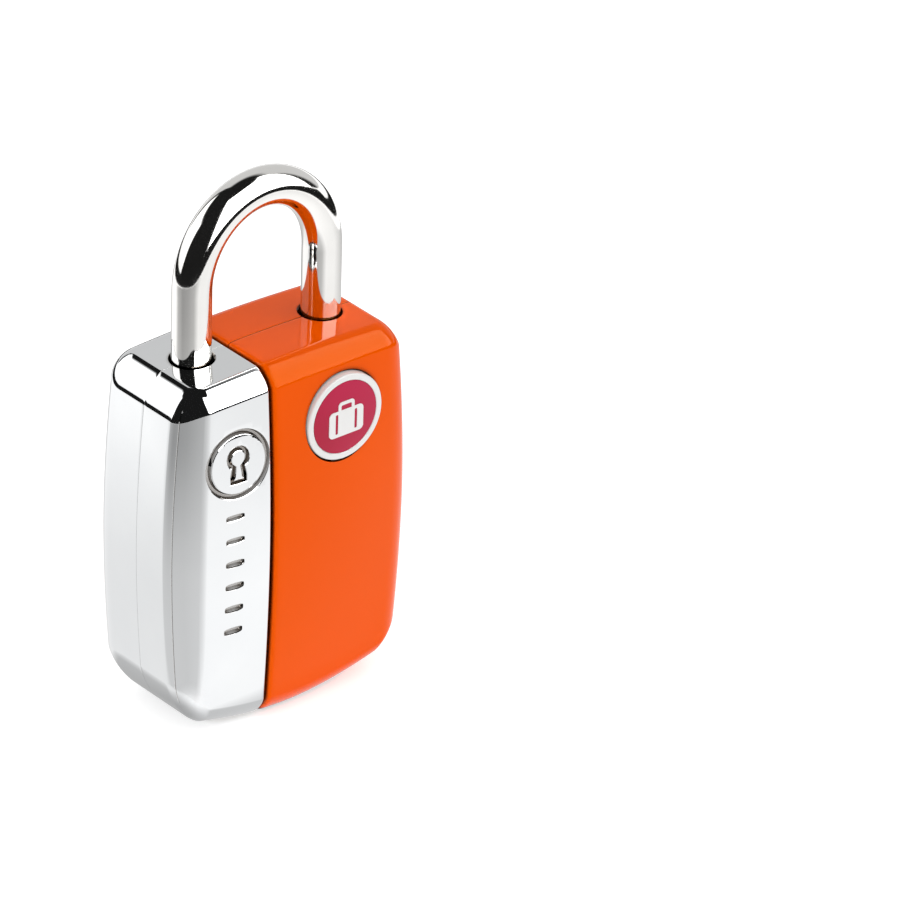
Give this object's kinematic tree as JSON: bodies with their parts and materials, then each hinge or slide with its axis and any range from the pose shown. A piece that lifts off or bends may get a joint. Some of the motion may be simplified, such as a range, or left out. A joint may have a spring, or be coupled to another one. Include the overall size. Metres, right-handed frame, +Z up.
{
  "type": "luggage padlock",
  "caption": "small key-operated luggage padlock with a round-section shackle and a crowned body of chrome and orange cover shells around a die-cast core",
  "frame": {"origin": "middle of the underside, on the flat face that the lock stands on", "axes": "+Z up along the shackle legs, -Y the front face with the badge, +X towards the orange side and the long heel leg"},
  "size_m": [0.0234, 0.0134, 0.0458],
  "materials": {
    "chrome_plate": "polished bright chrome plate on die-cast zinc",
    "orange_lacquer": "high-gloss orange lacquer on die-cast zinc",
    "badge_rim": "gloss white lacquer",
    "badge_enamel": "crimson domed enamel",
    "cast_zinc": "as-cast zinc",
    "plated_steel": "polished chrome plate on hardened steel",
    "bright_steel": "ground and zinc-plated",
    "spring_steel": "drawn wire",
    "brass": "turned brass",
    "wafer_brass": "stamped sheet brass"
  },
  "bodies": {
    "case": {"chrome_front_cover": "chrome_plate", "chrome_rear_cover": "chrome_plate", "orange_front_cover": "orange_lacquer", "orange_rear_cover": "orange_lacquer", "badge_plate": "badge_rim", "badge_enamel": "badge_enamel", "core_front": "cast_zinc", "core_rear": "cast_zinc", "shackle_spring": "spring_steel", "cylinder_sleeve": "brass", "heel_retaining_pin": "bright_steel", "cover_dowel_left_low": "bright_steel", "cover_dowel_left_high": "bright_steel", "cover_dowel_right_low": "bright_steel", "core_rivet_left_low": "bright_steel", "core_rivet_left_high": "bright_steel", "core_rivet_right_low": "bright_steel"},
    "shackle": {"shackle": "plated_steel"},
    "latch_bolt": {"latch_bolt": "bright_steel"},
    "key_plug": {"plug": "brass", "plug_clip": "spring_steel", "cam": "bright_steel", "wafer_1": "wafer_brass", "wafer_2": "wafer_brass", "wafer_3": "wafer_brass", "wafer_4": "wafer_brass", "wafer_5": "wafer_brass", "wafer_spring_1": "spring_steel", "wafer_spring_2": "spring_steel", "wafer_spring_3": "spring_steel", "wafer_spring_4": "spring_steel", "wafer_spring_5": "spring_steel"}
  },
  "joints": [
    {"name": "shackle_lift", "type": "slide", "parent": "case", "child": "shackle", "axis": [0, 0, 1], "range_m": [0, 0.0078], "deforming": ["shackle_spring"]},
    {"name": "bolt_slide", "type": "slide", "parent": "case", "child": "latch_bolt", "axis": [1, 0, 0], "range_m": [0, 0.0034]},
    {"name": "plug_turn", "type": "hinge", "parent": "case", "child": "key_plug", "pos_m": [0.0006, 0, 0], "axis": [0, 0, -1], "range_deg": [0, 90]}
  ],
  "couplings": [
    {"joint": "bolt_slide", "follows": "shackle_lift", "ratio": 0.4359},
    {"joint": "plug_turn", "follows": "shackle_lift", "rad_per_m": 201.38}
  ]
}
